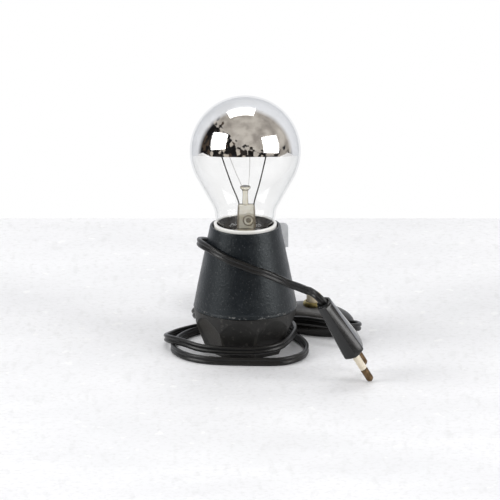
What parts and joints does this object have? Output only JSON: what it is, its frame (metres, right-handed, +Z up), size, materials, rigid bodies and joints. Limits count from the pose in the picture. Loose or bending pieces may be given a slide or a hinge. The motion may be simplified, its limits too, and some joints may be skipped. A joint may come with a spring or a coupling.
{
  "type": "table lamp",
  "caption": "Small table lamp: black conical casing on a faceted foot, porcelain lampholder with a crown-silvered bulb, wound flat cord, inline push switch and two-pin plug.",
  "frame": {"origin": "centre of the foot's underside, on the surface the lamp stands on", "axes": "+Z up along the lamp's axis; the front is -Y; the switch and the plug lie towards +X"},
  "size_m": [0.114, 0.1771, 0.1417],
  "materials": {
    "foot_black": "matte black stoved paint, warm",
    "casing_black": "satin blue-black paint, fine speckle, worn along the lip",
    "felt": "pressed felt",
    "steel": "zinc plated, dull",
    "tab_steel": "thin bright steel, vertical grain",
    "brass": "plain brass",
    "olive_brass": "tarnished brass",
    "porcelain": "white glaze",
    "clear_glass": "clear blown glass",
    "silvering": "silvered inside of the bulb",
    "cap_metal": "rolled aluminium",
    "black_glass": "opaque black glass",
    "stem_glass": "clear stem glass, slightly yellow",
    "wire": "oxidised nickel wire",
    "cord_black": "black flexible PVC, soft sheen",
    "tie": "plastic coated wire tie",
    "switch_brown": "dark moulded phenolic, dusty",
    "phenolic": "pressed phenolic",
    "cream": "aged cream moulding",
    "plug_black": "moulded black, satin",
    "pin_brass": "brown tarnished brass",
    "cream_sleeve": "cream insulation"
  },
  "bodies": {
    "lamp": {"foot": "foot_black", "foot_pad": "felt", "cord_sleeve": "cord_black", "clamp_plate": "steel", "nipple": "brass", "foot_nut": "steel", "plate_nut": "steel", "casing": "casing_black", "hanging_tab": "tab_steel", "tab_rivet": "steel", "lampholder_body": "porcelain", "holder_screw_left": "steel", "holder_screw_right": "steel", "threaded_sleeve": "brass", "centre_contact": "brass", "side_contact": "brass", "lamp_cord": "cord_black", "plug_cord_start": "cord_black", "plug_cord_end": "cord_black", "cord_coil": "cord_black", "coil_tie": "tie", "switch_lower_shell": "switch_brown", "switch_upper_shell": "switch_brown", "button_collar": "olive_brass", "switch_block": "phenolic", "button_spring": "steel", "switch_contact_left": "brass", "switch_contact_right": "brass", "plug_body": "plug_black", "plug_pin_near": "pin_brass", "pin_sleeve_near": "cream_sleeve", "plug_pin_far": "pin_brass", "pin_sleeve_far": "cream_sleeve"},
    "bulb": {"bulb_glass": "clear_glass", "mirror_crown": "silvering", "screw_cap": "cap_metal", "cap_insulator": "black_glass", "cap_contact": "cap_metal", "stem": "stem_glass", "lead_wire_left": "wire", "lead_wire_right": "wire", "support_wire_left": "wire", "support_wire_right": "wire", "filament": "wire"},
    "button": {"push_button": "cream"}
  },
  "joints": [
    {"name": "bulb_lift", "type": "slide", "parent": "lamp", "child": "bulb", "axis": [0, 0, 1], "range_m": [0, 0.045]},
    {"name": "switch_button", "type": "slide", "parent": "lamp", "child": "button", "axis": [0, 0, -1], "range_m": [0, 0.0025], "stiffness_N_per_m": 400, "deforming": ["button_spring"]}
  ]
}
